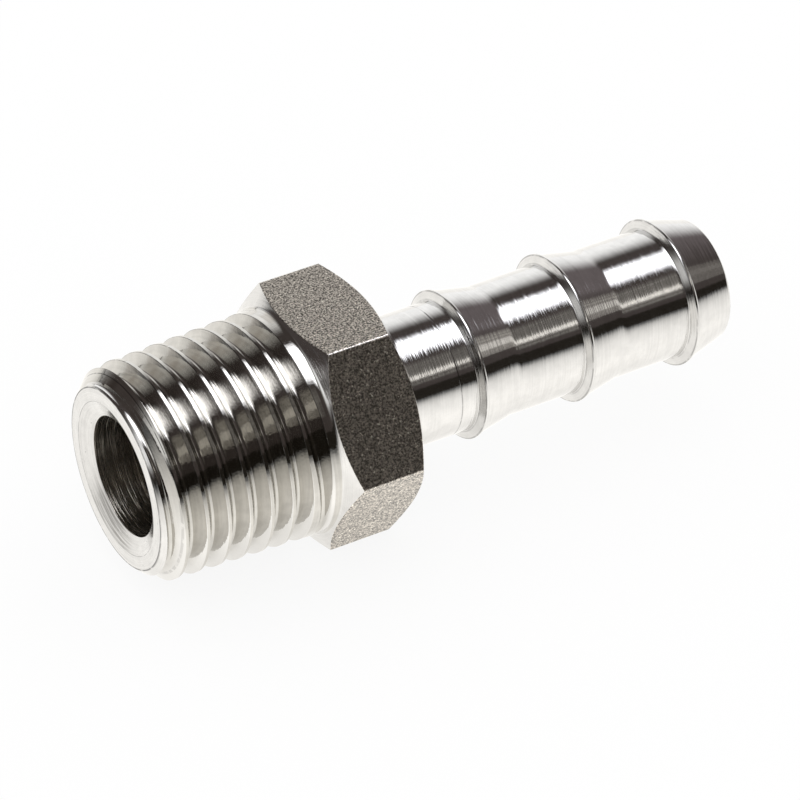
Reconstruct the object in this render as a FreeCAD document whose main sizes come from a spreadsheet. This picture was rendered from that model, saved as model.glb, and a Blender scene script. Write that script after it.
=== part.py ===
import FreeCAD, Part
import math
import os
import re

import Sketcher

# Hex adapter fitting: one turned piece with a taper pipe thread, a hexagon and a hose tail.
# X runs along the axis from the thread's end face to the tip of the hose tail, and Z is up.
# The origin is on the axis at the thread's end face. The piece lies on a flat of its hexagon.

# Driving dimensions in millimetres, degrees and turns
SIZES = [
    # Taper pipe thread, at its full nominal size in the gauge plane
    ("gauge_radius", 6.5785),
    ("gauge_length", 6.0),
    ("taper_angle", 1.79),
    ("thread_pitch", 1.337),
    ("flank_angle", 27.5),
    ("first_root", 0.154),
    ("runout_turns", 0.19),
    ("plain_band", 0.35),
    ("lead_below_root", 0.085),
    # Hexagon bar with turned corners: its flats stand this step above the thread's taper,
    # which makes 14 mm across the flats
    ("hex_start", 10.96),
    ("hex_length", 5.07),
    ("flat_step", 0.26649),
    ("corner_break", 0.04),
    ("hex_chamfer", 30.0),
    ("shoulder_inset", 0.35),
    # Hose tail
    ("land_radius", 3.97),
    ("neck_length", 5.268),
    ("ridge_spacing", 7.23),
    ("ridge_height", 0.58),
    ("ridge_lean", 0.2),
    ("ridge_width", 0.12),
    ("ridge_break", 0.09),
    ("ramp_length", 2.42),
    ("nose_length", 3.14),
    ("nose_drop", 0.27),
    ("tip_fillet", 0.3),
    # Stepped bore
    ("thread_wall", 1.935),
    ("bore_before_shoulder", 3.232),
    ("mouth_ring", 0.85),
    ("mouth_angle", 25.0),
    ("drill_point", 31.0),
    ("tail_wall", 0.97),
    ("tail_bore_chamfer", 0.2),
]
HEX_SIDES = 6
RIDGES = 3
LEAD_IN_TURNS = 2  # the thread's cutter starts this far ahead of the first root
RUNOUT_LAP = 0.02  # turns of thread that the run-out goes over again
RUNOUT_LIFT = 0.02  # millimetres that the run-out starts above the thread's root
SAME_EDGE = 1e-4  # millimetres within which an edge is the one looked for

# Sizes that follow from the driving ones, each a formula in the same sheet
last_ridge = f"first_ridge + {RIDGES - 1} * ridge_spacing"
DERIVED = [
    # The thread is a triangle cut off by a sixth of its height at crest and root,
    # and its groove is drawn a little past the crest
    ("thread_height", "thread_pitch / 2 / tan(flank_angle)"),
    ("thread_cut_off", "thread_height / 6"),
    ("thread_depth", "thread_height - 2 * thread_cut_off"),
    ("root_half_width", "thread_cut_off * tan(flank_angle)"),
    ("past_crest", "thread_cut_off / 3"),
    ("groove_height", "thread_depth + past_crest"),
    ("top_half_width", "root_half_width + groove_height * tan(flank_angle)"),
    ("thread_room", "hex_start - plain_band - runout_turns * thread_pitch - top_half_width"),
    ("thread_turns", "(thread_room - first_root) / thread_pitch"),
    ("runout_angle", "atan((groove_height + past_crest) / (runout_turns * thread_pitch))"),
    ("start_radius", "gauge_radius - gauge_length * tan(taper_angle)"),
    ("end_face_radius", "start_radius - thread_depth - lead_below_root"),
    # The lead is a 45 degree chamfer up to the thread's taper
    ("lead_length", "(start_radius - end_face_radius) / (1 - tan(taper_angle))"),
    ("lead_radius", "end_face_radius + lead_length"),
    ("taper_at_hex", "gauge_radius + (hex_start - gauge_length) * tan(taper_angle)"),
    ("across_flats", "2 * (taper_at_hex + flat_step)"),
    ("flat_radius", "across_flats / 2"),
    ("corner_radius", f"flat_radius / cos({180 / HEX_SIDES}) - corner_break"),
    ("corner_inset", "(corner_radius - flat_radius) * tan(hex_chamfer)"),
    ("hex_end", "hex_start + hex_length"),
    # The hexagon's front chamfer runs down to the thread's taper
    ("cone_at_end_face", "hex_start + (start_radius - flat_radius) * tan(hex_chamfer)"),
    ("cone_foot", "cone_at_end_face / (1 - tan(taper_angle) * tan(hex_chamfer))"),
    ("cone_foot_radius", "start_radius + cone_foot * tan(taper_angle)"),
    ("shoulder_radius", "flat_radius - shoulder_inset"),
    ("shoulder", "hex_end + shoulder_inset * tan(hex_chamfer)"),
    ("first_ridge", "shoulder + neck_length"),
    ("ridge_radius", "land_radius + ridge_height"),
    ("ramp_start", "ridge_lean + ridge_width + ridge_break"),
    ("overall_length", f"{last_ridge} + nose_length"),
    ("tip_radius", "land_radius - nose_drop"),
    ("thread_bore_radius", "start_radius - thread_depth - thread_wall"),
    ("thread_bore_depth", "shoulder - bore_before_shoulder"),
    ("mouth_radius", "end_face_radius - mouth_ring"),
    ("mouth_depth", "(mouth_radius - thread_bore_radius) * tan(mouth_angle)"),
    ("tail_bore_radius", "land_radius - tail_wall"),
    ("drill_point_length", "(thread_bore_radius - tail_bore_radius) * tan(drill_point)"),
]

doc = FreeCAD.newDocument("hex_adapter_fitting")
sheet = doc.addObject("Spreadsheet::Sheet", "Sizes")
cells = [(alias, str(size)) for alias, size in SIZES]
cells += [(alias, "=" + formula) for alias, formula in DERIVED]
for row, (alias, content) in enumerate(cells, start=1):
    sheet.set(f"A{row}", alias)
    sheet.set(f"B{row}", content)
    sheet.setAlias(f"B{row}", alias)
doc.recompute()

body = doc.addObject("PartDesign::Body", "AdapterBody")
body.Label = "adapter_body"


def from_sheet(formula):
    """The formula with each size's name pointed at its cell."""
    names = {alias for alias, _ in cells}
    return re.sub("[a-z_]+", lambda m: "Sizes." + m[0] if m[0] in names else m[0], formula)


def value_of(formula):
    return float(sheet.evalExpression(from_sheet(formula)))


def point(x, y):
    return FreeCAD.Vector(value_of(x), value_of(y), 0)


def origin_part(role):
    return next(o for o in body.Origin.OriginFeatures if o.Role == role)


def new_sketch(plane, name, turn=None):
    """A sketch on a plane of the body, turned about the axis by a formula in turns."""
    sketch = body.newObject("Sketcher::SketchObject", name)
    sketch.AttachmentSupport = [(origin_part(plane), "")]
    sketch.MapMode = "FlatFace"
    if turn:
        degrees = f"mod(({turn}) * 360; 360)"
        turned = FreeCAD.Rotation(FreeCAD.Vector(1, 0, 0), value_of(degrees))
        sketch.AttachmentOffset = FreeCAD.Placement(FreeCAD.Vector(), turned)
        sketch.setExpression("AttachmentOffset.Rotation.Angle", from_sheet(degrees))
    return sketch


def pin(sketch, edge, end, x, y):
    """Hold one end of an edge at x and y, each a formula of sizes."""
    for kind, formula, axis in (("DistanceX", x, -2), ("DistanceY", y, -1)):
        if formula == "0":
            sketch.addConstraint(Sketcher.Constraint("PointOnObject", edge, end, axis))
            continue
        size = value_of(formula)
        ends = (-1, 1, edge, end) if size > 0 else (edge, end, -1, 1)
        held = sketch.addConstraint(Sketcher.Constraint(kind, *ends, abs(size)))
        distance = formula if size > 0 else f"-({formula})"
        sketch.setExpression(f"Constraints[{held}]", from_sheet(distance))


def draw_outline(sketch, corners):
    """A closed outline of straight edges through corners, each a pair of formulas."""
    spots = [point(*corner) for corner in corners]
    count = len(spots)
    for i in range(count):
        sketch.addGeometry(Part.LineSegment(spots[i], spots[(i + 1) % count]), False)
    for i in range(count):
        sketch.addConstraint(Sketcher.Constraint("Coincident", i, 2, (i + 1) % count, 1))
        pin(sketch, (i - 1) % count, 2, *corners[i])


def add_feature(kind, name, **settings):
    feature = body.newObject(kind, name)
    for key, setting in settings.items():
        setattr(feature, key, setting)
    doc.recompute()
    return feature


def check_cut(feature, before):
    """A cut that points the wrong way changes nothing and shows no error."""
    if feature.Shape.Volume >= before.Shape.Volume:
        raise RuntimeError(f"{feature.Name} cuts nothing")
    return feature


def round_edge(name, base, size_name, x, radius):
    """Fillet the round edge about the axis at x with this radius."""
    edges = []
    for i, edge in enumerate(base.Shape.Edges, start=1):
        if not isinstance(edge.Curve, Part.Circle):
            continue
        off = (edge.Curve.Center.x - value_of(x), edge.Curve.Radius - value_of(radius))
        if math.hypot(*off) < SAME_EDGE:
            edges.append(f"Edge{i}")
    size = value_of(size_name)
    fillet = add_feature("PartDesign::Fillet", name, Radius=size, Base=(base, edges))
    fillet.setExpression("Radius", from_sheet(size_name))
    doc.recompute()
    return fillet


def turned_outline():
    """All that is turned off: from the end face over thread, hexagon and ridges to the tip."""
    beyond = "2 * corner_radius"
    corners = [
        ("0", beyond),
        ("0", "end_face_radius"),
        ("lead_length", "lead_radius"),
        ("cone_foot", "cone_foot_radius"),
        ("hex_start + corner_inset", "corner_radius"),
        ("hex_end - corner_inset", "corner_radius"),
        ("shoulder", "shoulder_radius"),
        ("shoulder", "land_radius"),
    ]
    for i in range(RIDGES):
        foot = f"first_ridge + {i} * ridge_spacing"
        corners += [
            (foot, "land_radius"),
            (f"{foot} + ridge_lean", "ridge_radius"),
            (f"{foot} + ridge_lean + ridge_width", "ridge_radius"),
            (f"{foot} + ramp_start", "ridge_radius - ridge_break"),
        ]
        if i < RIDGES - 1:
            corners.append((f"{foot} + ramp_start + ramp_length", "land_radius"))
    return corners + [("overall_length", "tip_radius"), ("overall_length", beyond)]


def bore_outline():
    """The bore from the thread end, with its countersunk mouth, to the hose tail."""
    return [
        ("0", "0"),
        ("0", "mouth_radius"),
        ("mouth_depth", "thread_bore_radius"),
        ("thread_bore_depth", "thread_bore_radius"),
        ("thread_bore_depth + drill_point_length", "tail_bore_radius"),
        ("overall_length - tail_bore_chamfer", "tail_bore_radius"),
        ("overall_length", "tail_bore_radius + tail_bore_chamfer"),
        ("overall_length", "0"),
    ]


def add_groove(name, base, start, lift, turns, angle):
    """Sweep the thread's groove from start, in turns past the first root, along a cone."""
    middle = f"first_root + ({start}) * thread_pitch"
    bottom = f"start_radius + ({middle}) * tan(taper_angle) - thread_depth + {lift}"
    corners = [
        (f"{middle} - root_half_width", bottom),
        (f"{middle} + root_half_width", bottom),
        (f"{middle} + top_half_width", f"{bottom} + groove_height"),
        (f"{middle} - top_half_width", f"{bottom} + groove_height"),
    ]
    outline = new_sketch("XZ_Plane", name + "Outline", start)
    draw_outline(outline, corners)
    groove = add_feature(
        "PartDesign::SubtractiveHelix",
        name,
        Profile=outline,
        ReferenceAxis=(axis, [""]),
        Mode="pitch-turns-angle",
    )
    groove.setExpression("Pitch", from_sheet("thread_pitch"))
    groove.setExpression("Turns", from_sheet(turns))
    groove.setExpression("Angle", from_sheet(angle))
    doc.recompute()
    return check_cut(groove, base)


axis = origin_part("X_Axis")

# A length of hexagon bar
bar_section = new_sketch("YZ_Plane", "BarSection")
bar_corner = f"flat_radius / cos({180 / HEX_SIDES})"
directions = [360 / HEX_SIDES * i for i in range(HEX_SIDES)]
draw_outline(
    bar_section, [(f"{bar_corner} * cos({a})", f"{bar_corner} * sin({a})") for a in directions]
)
bar = add_feature("PartDesign::Pad", "HexBar", Profile=bar_section)
bar.setExpression("Length", from_sheet("overall_length"))
doc.recompute()

# The bar is turned down to the outline and bored
outline = new_sketch("XY_Plane", "TurnedOutline")
draw_outline(outline, turned_outline())
blank = add_feature(
    "PartDesign::Groove", "TurnedBlank", Profile=outline, ReferenceAxis=(axis, [""])
)
check_cut(blank, bar)

bore_sketch = new_sketch("XY_Plane", "BoreOutline")
draw_outline(bore_sketch, bore_outline())
bore = add_feature(
    "PartDesign::Groove", "SteppedBore", Profile=bore_sketch, ReferenceAxis=(axis, [""])
)
check_cut(bore, blank)

tip = round_edge("TipFillet", bore, "tip_fillet", "overall_length", "tip_radius")

# The thread follows the taper, then its cutter is drawn out over part of a turn
thread = add_groove(
    "TaperThread",
    tip,
    f"-{LEAD_IN_TURNS}",
    "0",
    f"thread_turns + {LEAD_IN_TURNS}",
    "taper_angle",
)
runout = add_groove(
    "ThreadRunOut",
    thread,
    f"thread_turns - {RUNOUT_LAP}",
    f"{RUNOUT_LIFT}",
    "runout_turns",
    "runout_angle",
)
body.Tip = runout
doc.recompute()

for item in doc.Objects:
    if "Invalid" in item.State or "Error" in item.State:
        raise RuntimeError(f"{item.Name} failed: {item.State}")
if body.Shape.isNull() or not body.Shape.isValid():
    raise RuntimeError("the adapter's shape is empty or not valid")
os.makedirs("parts", exist_ok=True)
body.Shape.exportStep("parts/adapter_body.step")
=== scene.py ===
import math

import bmesh
import bpy
from mathutils import Matrix, Vector


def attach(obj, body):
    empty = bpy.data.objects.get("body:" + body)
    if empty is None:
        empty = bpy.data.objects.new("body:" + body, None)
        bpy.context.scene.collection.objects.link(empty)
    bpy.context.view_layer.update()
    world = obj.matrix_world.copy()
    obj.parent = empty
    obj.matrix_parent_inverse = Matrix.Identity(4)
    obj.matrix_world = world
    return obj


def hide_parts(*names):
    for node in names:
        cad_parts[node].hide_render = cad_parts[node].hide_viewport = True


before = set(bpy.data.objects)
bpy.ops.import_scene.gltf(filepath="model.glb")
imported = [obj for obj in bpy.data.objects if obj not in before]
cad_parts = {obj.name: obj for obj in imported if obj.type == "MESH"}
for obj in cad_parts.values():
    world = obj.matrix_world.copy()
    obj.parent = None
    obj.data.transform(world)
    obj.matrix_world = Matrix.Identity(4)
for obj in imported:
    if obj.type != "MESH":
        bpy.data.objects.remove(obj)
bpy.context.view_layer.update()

# The piece is modelled in millimetres and brought to metres at the end.
# X runs along the axis from the thread's end face to the tip of the hose tail, and Z is up.
METRES = 0.001
COLUMNS = 348  # faces round the axis: a multiple of 12, so that corners and flats fall on them

# Taper pipe thread
PITCH = 1.337
TAPER = 1 / 32  # on the radius
FLANK = math.radians(27.5)
START_RADIUS = 6.391  # over the crests, at the end face
FIRST_ROOT = 0.154  # at the top
FIRST_CREST = FIRST_ROOT + PITCH / 4  # at the back, a quarter turn before the top
THREAD_TURNS = 7.186
RUNOUT_TURNS = 0.19
SHARP_HEIGHT = PITCH / 2 / math.tan(FLANK)
DEPTH = SHARP_HEIGHT * 2 / 3
ROOT_RADIUS = 0.1373 * PITCH
CREST_WIDTH = 0.2
CREST_CORNER = 0.03  # radius at the crest's corners
CREST_TURN = math.radians(40)  # angle that each of these corners turns through
HOLLOW = 0.01  # of the flanks
LEAD = (0.9715, 6.4213)  # outer edge of the lead chamfer

# Hexagon
FLAT_RADIUS = 7.0
CORNER_RADIUS = 8.0428
HEX_START = 10.96
HEX_END = 16.03
CONE_SLOPE = math.tan(math.radians(30))  # length of the corners' chamfers over their height
CONE_FOOT = (10.803, 6.7286)  # where the cone leaves the thread's taper
CONE_FILLET = 0.4
SHOULDER = (16.232, 6.65)
EDGE_BREAK = 0.04

# Neck and hose tail. Along a ridge, places are counted from the foot of its steep face.
LAND = 3.97
NECK_FILLET = 0.25
NECK_RING = 20.4
NECK_RING_SIDE = 0.04
NECK_RING_DEPTH = 0.02
FIRST_RIDGE = 21.5
RIDGE_SPACING = 7.23
RIDGES = 3
RIDGE_HEIGHT = 0.58
RIDGE_TOP_START = 0.2
RIDGE_TOP_END = 0.32
RAMP_START = 0.41
RAMP_DROP = 0.09  # from the ridge's top to the start of its ramp
RAMP_END = 2.83
RAMP_FILLET = 1.5
TIP = 39.1
TIP_RADIUS = 3.7
TIP_ROUNDING = 0.3

# Bore, drilled from both ends
MOUTH_RADIUS = 4.6
MOUTH_DEPTH = 0.4663
END_FACE_RADIUS = 5.45
THREAD_BORE = 3.6
THREAD_BORE_END = 13.0
TAIL_BORE = 3.0
TAIL_BORE_START = 13.36
TAIL_CHAMFER = 0.2

# Places of the materials in the piece's slots
TURNED, THREADED, FACED, BORED, DRAWN = range(5)

# Tints of the steel, each warmer than the last
PLAIN = (1.01, 1.0, 0.98)
WARM = (1.025, 1.0, 0.94)
DRAWN_TINT = (1.09, 1.0, 0.88)

SHADOW_SHARE = 0.12  # of the floor's light, which the object's shadow takes away

# Camera: its direction and distance from a point on the axis, and its shift off that line
AIM = (15, 0, 0)
AZIMUTH = math.radians(-30.095)
ELEVATION = math.radians(36.75)
DISTANCE = 259.247
SHIFT_RIGHT = 3.051
SHIFT_DOWN = 0.043
LENS = 202.28


def only(piece):
    """Select this piece alone and make it active."""
    bpy.ops.object.select_all(action="DESELECT")
    piece.select_set(True)
    bpy.context.view_layer.objects.active = piece


def rounded(corners):
    """A closed outline from pairs of a corner and the radius of its arc, if it has one."""
    degrees_a_step = 18
    outline = []
    count = len(corners)
    for i, (corner, radius) in enumerate(corners):
        here = Vector(corner)
        if not radius:
            outline.append(tuple(here))
            continue
        back = (Vector(corners[i - 1][0]) - here).normalized()
        ahead = (Vector(corners[(i + 1) % count][0]) - here).normalized()
        half = back.angle(ahead) / 2
        tangent = radius / math.tan(half)
        middle = here + (back + ahead).normalized() * (radius / math.sin(half))
        start = (here + back * tangent - middle).normalized()
        end = (here + ahead * tangent - middle).normalized()
        steps = max(2, round(math.degrees(math.pi - 2 * half) / degrees_a_step))
        for k in range(steps + 1):
            outline.append(tuple(middle + start.slerp(end, k / steps) * radius))
    return outline


def turned(name, outline):
    """A solid of revolution: a ring of vertices pulled to the outline and spun about X."""
    bpy.ops.mesh.primitive_circle_add(vertices=len(outline))
    piece = bpy.context.object
    piece.name = name
    for vertex, (x, radius) in zip(piece.data.vertices, outline):
        vertex.co = (x, radius, 0)
    bpy.ops.object.transform_apply()
    bpy.ops.object.mode_set(mode="EDIT")
    bpy.ops.mesh.select_all(action="SELECT")
    bpy.ops.mesh.spin(
        steps=COLUMNS, angle=2 * math.pi, center=(0, 0, 0), axis=(1, 0, 0)
    )
    bpy.ops.mesh.select_all(action="SELECT")
    bpy.ops.mesh.remove_doubles(threshold=1e-5)
    bpy.ops.mesh.normals_make_consistent(inside=False)
    bpy.ops.object.mode_set(mode="OBJECT")
    return piece


def combine(piece, tool, operation):
    """Cut or intersect the piece with the tool, which is then deleted."""
    only(piece)
    bpy.ops.object.modifier_add(type="BOOLEAN")
    cut = piece.modifiers[-1]
    cut.operation = operation
    cut.solver = "MANIFOLD"
    cut.object = tool
    bpy.ops.object.modifier_apply(modifier=cut.name)
    only(tool)
    bpy.ops.object.delete()
    only(piece)


class Socket:
    """A shader socket. Sums, differences, products and powers of it add Math nodes to its tree."""

    def __init__(self, tree, socket=None):
        self.tree = tree
        self.socket = socket

    def node(self, kind, settings=None, values=None, output=0):
        """Add a node: its settings come first, then the values or links of its sockets."""
        made = self.tree.nodes.new("ShaderNode" + kind)
        for name, setting in (settings or {}).items():
            setattr(made, name, setting)
        for name, value in (values or {}).items():
            if isinstance(value, Socket):
                self.tree.links.new(value.socket, made.inputs[name])
            else:
                made.inputs[name].default_value = value
        return Socket(self.tree, made.outputs[output])

    def output(self, index):
        """Another output of the same node."""
        return Socket(self.tree, self.socket.node.outputs[index])

    def math(self, operation, first, second=0.0):
        """A Math node on two values or sockets."""
        return self.node("Math", {"operation": operation}, {0: first, 1: second})

    def __add__(self, other):
        return self.math("ADD", self, other)

    def __radd__(self, other):
        return self.math("ADD", other, self)

    def __sub__(self, other):
        return self.math("SUBTRACT", self, other)

    def __rsub__(self, other):
        return self.math("SUBTRACT", other, self)

    def __mul__(self, other):
        return self.math("MULTIPLY", self, other)

    def __rmul__(self, other):
        return self.math("MULTIPLY", other, self)

    def __truediv__(self, other):
        return self.math("DIVIDE", self, other)

    def __pow__(self, other):
        return self.math("POWER", self, other)


def fade(value, start, end):
    """A soft step from 0 at the start to 1 at the end; the start may be the larger one."""
    values = {"Value": value, "From Min": start, "From Max": end}
    return value.node("MapRange", {"interpolation_type": "SMOOTHSTEP"}, values)


def line(value, middle, width):
    """A thin line along which the value is near its middle."""
    off = value.math("ABSOLUTE", value - middle)
    return fade(off, width, width * 0.4)


def mixed(factor, first, second):
    """The first colour, changing to the second as the factor grows from 0 to 1."""
    values = {0: factor, 6: first, 7: second}
    return factor.node("Mix", {"data_type": "RGBA"}, values, output=2)


def noise(vector, scale, detail=2.0, roughness=0.5):
    """Noise from 0 to 1 with a mean of one half."""
    values = {"Vector": vector, "Scale": scale, "Detail": detail, "Roughness": roughness}
    return vector.node("TexNoise", None, values)


def parts_of(vector):
    """The three components of a vector."""
    first = vector.node("SeparateXYZ", None, {0: vector})
    return first, first.output(1), first.output(2)


def vector_of(x, y, z):
    """A vector with these components, of which the first is a socket."""
    return x.node("CombineXYZ", None, {0: x, 1: y, 2: z})


def length_of(first, second):
    """The length of a vector with these two components."""
    return (first * first + second * second) ** 0.5


def tinted(level, tint=(1.0, 1.0, 1.0)):
    """A colour of this level and tint."""
    return (level * tint[0], level * tint[1], level * tint[2], 1.0)


def steel(level, tint=PLAIN):
    """The steel's own colour at this level of reflectance."""
    return tinted(level, tint)


def place_on(tree):
    """The place on the surface, in millimetres."""
    place = Socket(tree).node("TexCoord", output="Object")
    return place.node("VectorMath", {"operation": "SCALE"}, {0: place, "Scale": 1 / METRES})


def new_material(name):
    """A metal material, and the place on the surface in millimetres."""
    made = bpy.data.materials.new(name)
    made.use_nodes = True
    made.node_tree.nodes["Principled BSDF"].inputs["Metallic"].default_value = 1
    return made, place_on(made.node_tree)


def finish_material(made, colour, roughness, height, relief):
    """Link the colour, the roughness and the bump, whose relief is in millimetres."""
    values = {"Strength": 1, "Distance": relief * METRES, "Height": height}
    normal = height.node("Bump", None, values)
    shader = made.node_tree.nodes["Principled BSDF"]
    for name, value in (("Base Color", colour), ("Roughness", roughness), ("Normal", normal)):
        made.node_tree.links.new(value.socket, shader.inputs[name])
    return made


def ring_marks(place, fineness):
    """Rings left by the lathe tool, which change slowly round the axis."""
    x, y, z = parts_of(place)
    along = x + 1.3 * length_of(y, z)
    fine = noise(vector_of(along * fineness, y * 0.3, z * 0.3), 1, 3)
    broad = noise(vector_of(along * fineness * 0.2, y * 0.2, z * 0.2), 1, 2)
    return fine, broad


def mottled(pattern, lower, upper):
    """A colour that wanders between two others with the pattern."""
    return mixed(fade(pattern, 0.3, 0.7), lower, upper)


def turned_steel():
    """Bright turned metal: the hose tail, the shoulders and the start of the lead chamfer."""
    made, place = new_material("turned_steel")
    fine, broad = ring_marks(place, 9)
    patches = noise(place, 1.4, 4)
    colour = mottled(fine * 0.4 + patches * 0.6, steel(0.59), steel(0.67))

    # Dark lines at the foot and the top of each ridge, the end face's edge and the neck's ring.
    # Those at each ridge's foot and at the front edge of its top are painted shade, in the crease
    # and on the rounded edge.
    x, y, z = parts_of(place)
    along = x.math("FLOORED_MODULO", x - FIRST_RIDGE, RIDGE_SPACING)
    dark_lines = line(along, RIDGE_TOP_START - 0.01, 0.03) + line(along, 0.0, 0.05) * 0.6
    dark_lines = dark_lines * fade(x, FIRST_RIDGE - 0.1, FIRST_RIDGE)
    dark_lines = dark_lines + line(length_of(y, z), END_FACE_RADIUS, 0.06) * fade(x, 2, 1)
    dark_lines = dark_lines + line(x, NECK_RING, 0.06)
    dark_lines = dark_lines * fade(noise(place, 1.5, 2), 0.3, 0.55) * 0.5
    colour = mixed(dark_lines, colour, steel(0.12))

    roughness = 0.045 + broad * 0.03 + fine * 0.045
    height = fine + broad * 0.8 + noise(place, 7, 1) * 0.06
    return finish_material(made, colour, roughness, height, 0.009)


def threaded_steel():
    """Chased metal, whose marks follow the thread and cross it where the tool chattered."""
    made, place = new_material("threaded_steel")
    x, y, z = parts_of(place)

    # The phase is 0 on the crests and one half in the roots
    turn = z.math("ARCTAN2", z, y) / (2 * math.pi)
    phase = turn.math("FRACT", (x - FIRST_CREST) / PITCH - turn)
    marks = noise(vector_of(phase * 14, y * 0.3 + x * 0.4, z * 0.3), 1, 3)
    chatter = noise(vector_of(phase * 2.5 + x, y * 7, z * 7), 1, 1)
    patches = noise(place, 1.4, 4)
    colour = mottled(marks * 0.5 + patches * 0.5, steel(0.46, WARM), steel(0.56, WARM))

    # Painted shade: a faint brown band along the top, between the crests
    painted_top_shade = line(y, 1.2, 0.9) * fade(z, 1, 3) * fade(phase, 0.1, 0.2) * fade(phase, 0.97, 0.9)
    colour = mixed(painted_top_shade * 0.3, colour, steel(0.12, (1.35, 1.0, 0.65)))

    # Painted light: in the lower half, the flanks that face the end are paler towards their crests
    painted_flank_light = fade(phase, 0.55, 0.85) * fade(phase, 0.96, 0.93) * fade(z, 3, -1)
    colour = mixed(painted_flank_light * 0.8, colour, steel(0.72))

    # Painted shade: dark lines on the crests' front edges, in the upper half only, and round the
    # lead chamfer, stronger towards the back
    dark_lines = line(phase, 0.93, 0.02) * fade(z, 1, 3)
    dark_lines = dark_lines + line(x, LEAD[0], 0.06) * (fade(y - z * 0.6, -1, 3) * 0.7 + 0.3)
    dark_lines = dark_lines * fade(noise(place, 2, 2), 0.3, 0.5) * 0.8
    colour = mixed(dark_lines, colour, steel(0.08, WARM))

    roughness = 0.03 + marks * 0.06
    return finish_material(made, colour, roughness, marks + chatter * 0.6, 0.004)


def faced_steel():
    """The faced and countersunk mouth and the face of the tip."""
    made, place = new_material("faced_steel")
    fine, broad = ring_marks(place, 10)
    patches = noise(place, 1.6, 4)
    colour = mottled(patches * 0.4 + fine * 0.6, steel(0.58), steel(0.69))

    # Dark streaks low down in the countersink, towards the back
    x, y, z = parts_of(place)
    radius = length_of(y, z)
    streaks, _ = ring_marks(place, 18)
    streaks = fade(streaks, 0.35, 0.6) * fade(radius, 4.85, 4.5) * fade(y - z * 0.8, 1.2, 3.6)
    streaks = streaks * fade(y, 3.8, 2.4)
    colour = mixed(streaks * 0.7, colour, steel(0.2, WARM))

    # Dark lines at both edges of the end face, and pits
    dark_lines = line(radius, END_FACE_RADIUS, 0.09) + line(radius, MOUTH_RADIUS, 0.03) * 0.5
    dark_lines = dark_lines * fade(noise(place, 1.5, 2), 0.3, 0.5) * 0.95
    pits = fade(noise(place, 5, 2), 0.68, 0.76) * 0.6
    colour = mixed(dark_lines.math("MAXIMUM", dark_lines, pits), colour, steel(0.1))

    roughness = 0.1 + broad * 0.1 + fine * 0.05
    return finish_material(made, colour, roughness, fine * 0.6 + broad, 0.005)


def bored_steel():
    """The drilled bore, with rings left by the drill."""
    made, place = new_material("bored_steel")
    fine, broad = ring_marks(place, 18)
    # The drill's scratches are real marks, and rougher than the rest. Their pale colour is painted
    # highlight, standing for the light from the opening that they catch.
    scratches_and_highlight = fade(fine, 0.52, 0.67) * (fade(noise(place, 0.4, 1), 0.4, 0.6) * 0.7 + 0.3)
    tint = (1.08, 1.0, 0.88)
    colour = mixed(scratches_and_highlight, steel(0.36, tint), steel(1.0, tint))
    roughness = 0.18 + broad * 0.1 + scratches_and_highlight * 0.3
    return finish_material(made, colour, roughness, fine + broad * 0.5, 0.02)


def drawn_steel():
    """The bar's drawn flats: rough grain with dark and light specks."""
    made, place = new_material("drawn_steel")
    grain = noise(place, 9, 2, 0.6)
    coarse = noise(place, 3, 3)
    pattern = grain * 0.8 + coarse * 0.2

    # Painted shade: the grain is weaker on the two sloping flats above the axis, a shaded copy of
    # the same finish
    z = parts_of(place)[2]
    shaded_slopes = fade(z, 0, 0.1) * fade(z, FLAT_RADIUS - 0.02, FLAT_RADIUS - 0.1)
    darker = mixed(shaded_slopes, steel(0.06, DRAWN_TINT), steel(0.14, DRAWN_TINT))
    lighter = mixed(shaded_slopes, steel(0.66, DRAWN_TINT), steel(0.53, DRAWN_TINT))
    colour = mixed(fade(pattern, 0.38, 0.64), darker, lighter)

    specks = noise(place, 7, 1)
    colour = mixed(fade(specks, 0.3, 0.22), colour, steel(0.07, DRAWN_TINT))
    colour = mixed(fade(specks, 0.64, 0.74), colour, steel(1.0, DRAWN_TINT))
    roughness = 0.27 + grain * 0.06
    return finish_material(made, colour, roughness, grain, 0.016)


def on_flat(point, tolerance=2e-4):
    """Whether a point lies on one of the hexagon's flats, or this far from it."""
    turn = math.atan2(point.z, point.y)
    sixth = math.pi / 3
    off = (turn % sixth) - sixth / 2
    across = math.hypot(point.y, point.z) * math.cos(off)
    return abs(across - FLAT_RADIUS) < tolerance


def region(face):
    """The index, in the piece's material slots, of the material that a face has."""
    x, y, z = face.center
    radius = math.hypot(y, z)
    at_tip = x > TIP - 0.1
    thread_start = LEAD[0] * 0.3  # where the first groove cuts the lead chamfer
    if radius < THREAD_BORE + 0.01 and x > MOUTH_DEPTH and not at_tip:
        return BORED
    if radius < END_FACE_RADIUS and (x < MOUTH_DEPTH + 0.02 or at_tip):
        return FACED
    if on_flat(face.center, EDGE_BREAK * 0.75):
        return DRAWN
    if thread_start < x < CONE_FOOT[0]:
        return THREADED
    return TURNED


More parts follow.
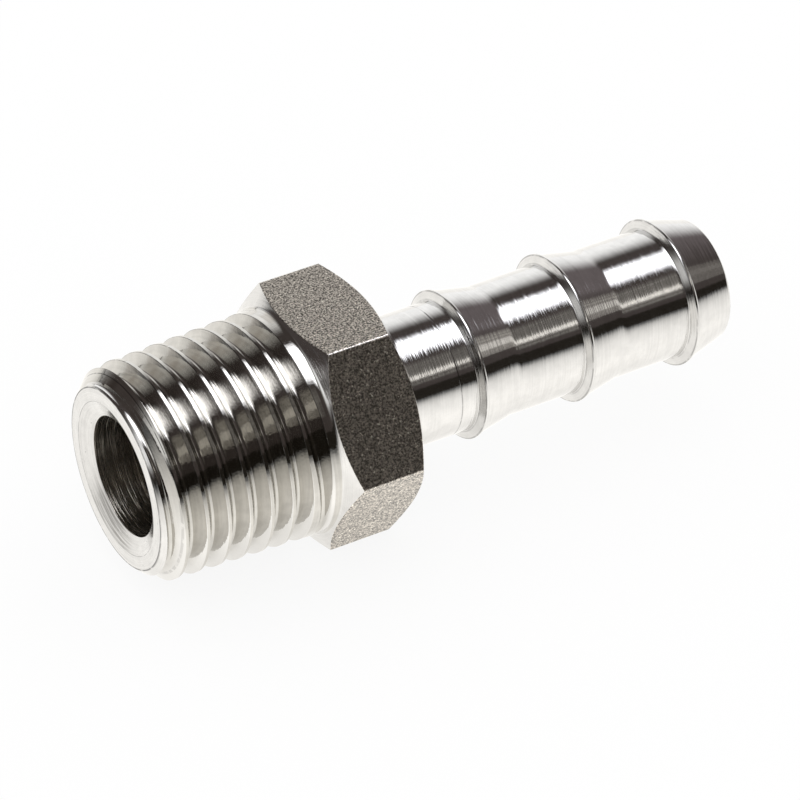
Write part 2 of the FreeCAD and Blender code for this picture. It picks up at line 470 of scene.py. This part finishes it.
def body_outline():
    """The turned outline, from the mouth over the thread and the tail and back to the bore."""
    cone_length = (CORNER_RADIUS - FLAT_RADIUS) * CONE_SLOPE
    corners = [
        ((0, MOUTH_RADIUS), 0.04),
        ((0, END_FACE_RADIUS), 0.04),
        (LEAD, 0),
        (CONE_FOOT, CONE_FILLET),
        ((HEX_START + cone_length, CORNER_RADIUS), 0),
        ((HEX_END - cone_length, CORNER_RADIUS), 0),
        (SHOULDER, 0.06),
        ((SHOULDER[0], LAND), NECK_FILLET),
        ((NECK_RING - NECK_RING_SIDE, LAND), 0),
        ((NECK_RING, LAND - NECK_RING_DEPTH), 0),
        ((NECK_RING + NECK_RING_SIDE, LAND), 0),
    ]
    top = LAND + RIDGE_HEIGHT
    for i in range(RIDGES):
        foot = FIRST_RIDGE + i * RIDGE_SPACING
        corners += [
            ((foot, LAND), 0.05),
            ((foot + RIDGE_TOP_START, top), 0.04),
            ((foot + RIDGE_TOP_END, top), 0.08),
            ((foot + RAMP_START, top - RAMP_DROP), 0.08),
        ]
        if i < RIDGES - 1:
            corners.append(((foot + RAMP_END, LAND), RAMP_FILLET))
    corners += [
        ((TIP, TIP_RADIUS), TIP_ROUNDING),
        ((TIP, TAIL_BORE + TAIL_CHAMFER), 0.03),
        ((TIP - TAIL_CHAMFER, TAIL_BORE), 0),
        ((TAIL_BORE_START, TAIL_BORE), 0),
        ((THREAD_BORE_END, THREAD_BORE), 0),
        ((MOUTH_DEPTH, THREAD_BORE), 0.05),
    ]
    return rounded(corners)


def groove_profile():
    """The thread groove's outline about its middle: rounded root, hollow flanks, crest corners."""
    root_steps, flank_steps, corner_steps = 4, 5, 2
    side = []
    lean = math.pi / 2 - FLANK
    for k in range(root_steps + 1):
        turn = lean * k / root_steps
        side.append((ROOT_RADIUS * math.sin(turn), ROOT_RADIUS * (1 - math.cos(turn))))
    low_x, low = side[-1]
    corner_x = (PITCH - CREST_WIDTH) / 2
    setback = CREST_CORNER * math.tan(CREST_TURN / 2)
    high_x = corner_x - setback * math.cos(lean)
    high = DEPTH - setback * math.sin(lean)
    for k in range(1, flank_steps):
        part = k / flank_steps
        hollow = HOLLOW * 4 * part * (1 - part)
        side.append((low_x + (high_x - low_x) * part, low + (high - low) * part - hollow))
    for k in range(corner_steps + 1):
        turn = lean - CREST_TURN * k / corner_steps
        side.append(
            (
                high_x + CREST_CORNER * (math.sin(lean) - math.sin(turn)),
                high + CREST_CORNER * (math.cos(turn) - math.cos(lean)),
            )
        )

    # The cutter reaches this far above the crests, in line with the end of the corner
    reach = 0.15
    x, height = side[-1]
    side.append((x + reach / math.tan(lean - CREST_TURN), height + reach))
    return [(-x, y) for x, y in reversed(side[1:])] + side


def swept_groove(profile, lead_in):
    """The swept profile, begun so many turns ahead of the thread, and the turn in each step."""
    beyond_runout = 1.3
    turns = THREAD_TURNS + RUNOUT_TURNS * beyond_runout + lead_in
    steps = round(turns * COLUMNS)
    bpy.ops.mesh.primitive_circle_add(vertices=len(profile))
    cutter = bpy.context.object
    cutter.name = "groove_cutter"
    start = FIRST_ROOT - lead_in * PITCH
    for vertex, (x, height) in zip(cutter.data.vertices, profile):
        vertex.co = (start + x, 0, START_RADIUS - DEPTH + height)

    # Half a column round, so that no edge of the groove lies on an edge of the blank
    half_column = math.pi / COLUMNS
    cutter.data.transform(Matrix.Rotation(half_column, 4, "X"))
    bpy.ops.object.modifier_add(type="SCREW")
    sweep = cutter.modifiers[-1]
    sweep.axis = "X"
    sweep.angle = 2 * math.pi * turns
    sweep.screw_offset = PITCH * turns
    sweep.steps = steps
    sweep.render_steps = steps
    sweep.use_smooth_shade = True
    sweep.use_merge_vertices = False
    bpy.ops.object.modifier_apply(modifier=sweep.name)
    return cutter, turns / steps


def groove_cutter():
    """The groove swept along the taper, its last part drawn out of the metal."""
    profile = groove_profile()
    lead_in = 2  # turns, so that the groove starts outside the metal
    cutter, turn_of_step = swept_groove(profile, lead_in)
    runout_height = DEPTH + 0.07
    for i, vertex in enumerate(cutter.data.vertices):
        into_runout = i // len(profile) * turn_of_step - lead_in - THREAD_TURNS
        lift = max(0, into_runout) / RUNOUT_TURNS * runout_height
        x, y, z = vertex.co
        radius = math.hypot(y, z)
        grown = (radius + x * TAPER + lift) / radius
        vertex.co = (x, y * grown, z * grown)
    bpy.ops.object.mode_set(mode="EDIT")
    bpy.ops.mesh.select_all(action="DESELECT")
    bpy.ops.mesh.select_mode(type="VERT")
    bpy.ops.mesh.select_non_manifold()
    bpy.ops.mesh.fill()
    bpy.ops.mesh.select_all(action="SELECT")
    bpy.ops.mesh.normals_make_consistent(inside=False)
    bpy.ops.object.mode_set(mode="OBJECT")
    return cutter


def hexagon_bar():
    """The bar that the piece is turned from, longer than the piece at both ends."""
    bpy.ops.mesh.primitive_cylinder_add(
        vertices=6,
        radius=FLAT_RADIUS / math.cos(math.pi / 6),
        depth=60,
        location=(20, 0, 0),
        rotation=(0, math.pi / 2, 0),
    )
    bar = bpy.context.object
    bpy.ops.object.transform_apply()
    return bar


def break_hexagon_edges(piece):
    """Bevel the edges all round each flat."""
    only(piece)
    bpy.ops.object.mode_set(mode="EDIT")
    bpy.ops.mesh.select_mode(type="EDGE")
    bpy.ops.mesh.select_all(action="DESELECT")
    mesh = bmesh.from_edit_mesh(piece.data)
    for edge in mesh.edges:
        if len(edge.link_faces) != 2:
            continue
        flats = [all(on_flat(v.co) for v in face.verts) for face in edge.link_faces]
        edge.select = sum(flats) == 1
    bmesh.update_edit_mesh(piece.data)
    bpy.ops.mesh.bevel(
        offset=EDGE_BREAK, segments=2, affect="EDGES", clamp_overlap=True
    )
    bpy.ops.object.mode_set(mode="OBJECT")


def dress(piece):
    """Give the piece its materials and smooth its curved faces."""
    only(piece)
    piece.data.materials.clear()
    for finish in (turned_steel, threaded_steel, faced_steel, bored_steel, drawn_steel):
        piece.data.materials.append(finish())
    for face in piece.data.polygons:
        face.material_index = region(face)
    bpy.ops.object.shade_smooth_by_angle(angle=math.radians(35))
    bpy.ops.object.modifier_add(type="WEIGHTED_NORMAL")
    piece.modifiers[-1].keep_sharp = True
    bpy.ops.object.modifier_apply(modifier=piece.modifiers[-1].name)


def lit_ceiling(colour, x, angle):
    """The little light that the dark room's ceiling has."""
    colour = mixed(fade(angle, 164, 162), colour, tinted(0.06, (1.18, 0.98, 0.92)))
    share = fade(angle, 149, 147) * fade(x, 0.45, 0.68) * fade(x, 0.88, 0.76)
    share = share * (1 - fade(angle, 92, 110) * 0.7)
    return mixed(share, colour, tinted(0.15, (1.12, 0.96, 0.98)))


def grey_wall(colour, x, z, angle):
    """A woven grey wall behind the camera, lighter to the right, and a bright strip across it."""
    weave = noise(vector_of(x * 16, angle * 0.8, z * 2), 1, 2, 0.6)
    side = fade(x, 0.38, 0.72)
    upper = fade(angle, 149, 147)
    lower = fade(angle, 157, 153) * fade(x, 0.36, 0.4) * fade(x, 0.6, 0.5)
    share = fade(angle + side * 8, 114, 127) * upper.math("MAXIMUM", upper, lower)
    share = share * fade(x, 0.1, 0.35) * (1 - fade(x, 0.71, 0.79) * 0.65)
    wall_tint = (1.05, 1.0, 0.92)
    grey = mixed(fade(x, 0.36, 0.7), tinted(0.2, wall_tint), tinted(0.56, wall_tint))
    colour = mixed(share * fade(weave, 0.34, 0.58), colour, grey)

    strip = fade(angle + side * 14, 139, 142) * fade(angle + side * 9.5, 148.5, 146)
    strip = strip * fade(x, 0.36, 0.4) * fade(x, 0.79, 0.74) * (fade(weave, 0.3, 0.6) * 0.5 + 0.5)
    strip_tint = (1.04, 1.0, 0.94)
    bright = mixed(fade(x, 0.45, 0.58), tinted(1.4, strip_tint), tinted(0.9, strip_tint))
    return mixed(strip, colour, bright)


def softboxes(colour, x, y, z):
    """Two softboxes side by side, with a dimmer gap, as rectangles on a ceiling at height 1."""
    across = x / z
    along = y / z - across * 0.16
    near = along - fade(across, 0.4, 0.45) * 0.13
    box = fade(along - fade(across, 0.46, 0.38) * 0.08, 0.36, 0.07) * fade(near, -0.56, -0.2)
    box = box * fade(across + along * 0.45, 0.9, 0.5) * fade(across, -0.8, -0.7)
    gap = fade(across, 0.41, 0.44) * fade(across, 0.53, 0.5)
    lamp_tint = (0.99, 1.0, 1.06)
    return mixed(box, colour, mixed(gap, tinted(4.3, lamp_tint), tinted(1.7, lamp_tint)))


def studio_light(world):
    """White for cameras and matt surfaces, and a product photographer's studio for glossy ones."""
    tree = world.node_tree
    start = Socket(tree)
    x, y, z = parts_of(start.node("TexCoord", output="Generated"))
    z = z.math("MAXIMUM", z, 0.002)

    # Degrees round the X axis: 0 behind the object, 90 overhead and 180 on the camera's side
    angle = z.math("ARCTAN2", z, y) * (180 / math.pi)

    dark_room = tinted(0.017, (1.2, 1.0, 0.78))
    colour = lit_ceiling(dark_room, x, angle)
    colour = grey_wall(colour, x, z, angle)

    # A pale wall far to the left
    left = fade(x, -0.55, -0.95) * fade(angle, 40, 90) * fade(angle, 165, 115)
    colour = mixed(left, colour, tinted(1.1))

    colour = softboxes(colour, x, y, z)

    # The white backdrop, brightest opposite the camera
    facing = x * 0.26 + y * 0.966
    backdrop = fade(facing, 0.62, 0.95) * fade(x, -0.55, -0.05)
    colour = mixed(backdrop, colour, tinted(1.3))

    glossy = start.node("LightPath", output="Is Glossy Ray")
    colour = mixed(glossy, tinted(1.0), colour)
    background = tree.nodes["Background"]
    tree.links.new(colour.socket, background.inputs["Color"])


def floor_material():
    """A white table: plain to the camera, darker away from the lights where metal mirrors it."""
    made = bpy.data.materials.new("white_table")
    made.use_nodes = True
    tree = made.node_tree
    start = Socket(tree)
    x, y, _ = parts_of(place_on(tree))

    # Painted light: darker away from the lights at the back right. Painted shadow of the piece: a
    # little darker beyond its front and under it
    away = length_of(x, y) - x * 0.6 - y * 0.8
    lit = away.math("EXPONENT", away.math("MAXIMUM", away - 20, 0) / -95)
    lit = lit * (1 - fade(y, -8, -1.5) * 0.17)
    painted_shadow_under = fade(y.math("ABSOLUTE", y), 10, 6) * fade(x.math("ABSOLUTE", x - 10.5), 12, 7)
    lit = lit * (1 - painted_shadow_under * 0.14)
    colour = mixed(lit, tinted(0.01), tinted(1.5, (1.02, 1.0, 0.965)))

    glossy = start.node("LightPath", output="Is Glossy Ray")
    colour = mixed(glossy, tinted(1.0), colour)
    glow = start.node("Emission", None, {"Color": colour})
    matt = start.node("BsdfDiffuse", None, {"Color": tinted(1.0)})
    both = start.node("MixShader", None, {0: SHADOW_SHARE, 1: glow, 2: matt})
    surface = tree.nodes["Material Output"].inputs["Surface"]
    tree.links.new(both.socket, surface)
    return made


def photo_camera():
    """A camera at the photograph's viewing angle."""
    towards = Vector(
        (
            math.sin(AZIMUTH) * math.cos(ELEVATION),
            -math.cos(AZIMUTH) * math.cos(ELEVATION),
            math.sin(ELEVATION),
        )
    )
    right = Vector((math.cos(AZIMUTH), math.sin(AZIMUTH), 0))
    up = towards.cross(right)
    place = Vector(AIM) + towards * DISTANCE + right * SHIFT_RIGHT - up * SHIFT_DOWN
    data = bpy.data.cameras.new("camera")
    data.sensor_width = 36
    data.lens = LENS
    data.clip_start = 0.01
    camera = bpy.data.objects.new("camera", data)
    bpy.context.scene.collection.objects.link(camera)
    axes = Matrix((right, up, towards)).transposed().to_4x4()
    camera.matrix_world = Matrix.Translation(place * METRES) @ axes
    return camera


bpy.ops.object.select_all(action="DESELECT")
adapter = turned("turned_adapter", body_outline())
combine(adapter, hexagon_bar(), "INTERSECT")
break_hexagon_edges(adapter)
combine(adapter, groove_cutter(), "DIFFERENCE")
dress(adapter)
adapter.data.transform(Matrix.Scale(METRES, 4))

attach(adapter, "root")
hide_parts("adapter_body")

# Plain pale floor under the flat that the fitting lies on
bpy.ops.mesh.primitive_plane_add(size=4, location=(0, 0, -FLAT_RADIUS * METRES))
floor = bpy.context.object
floor.name = "floor"
bpy.ops.object.transform_apply()
floor.data.materials.append(floor_material())

bpy.context.scene.camera = photo_camera()
bpy.context.scene.view_settings.view_transform = "Standard"

world = bpy.data.worlds.new("studio")
bpy.context.scene.world = world
world.use_nodes = True
studio_light(world)
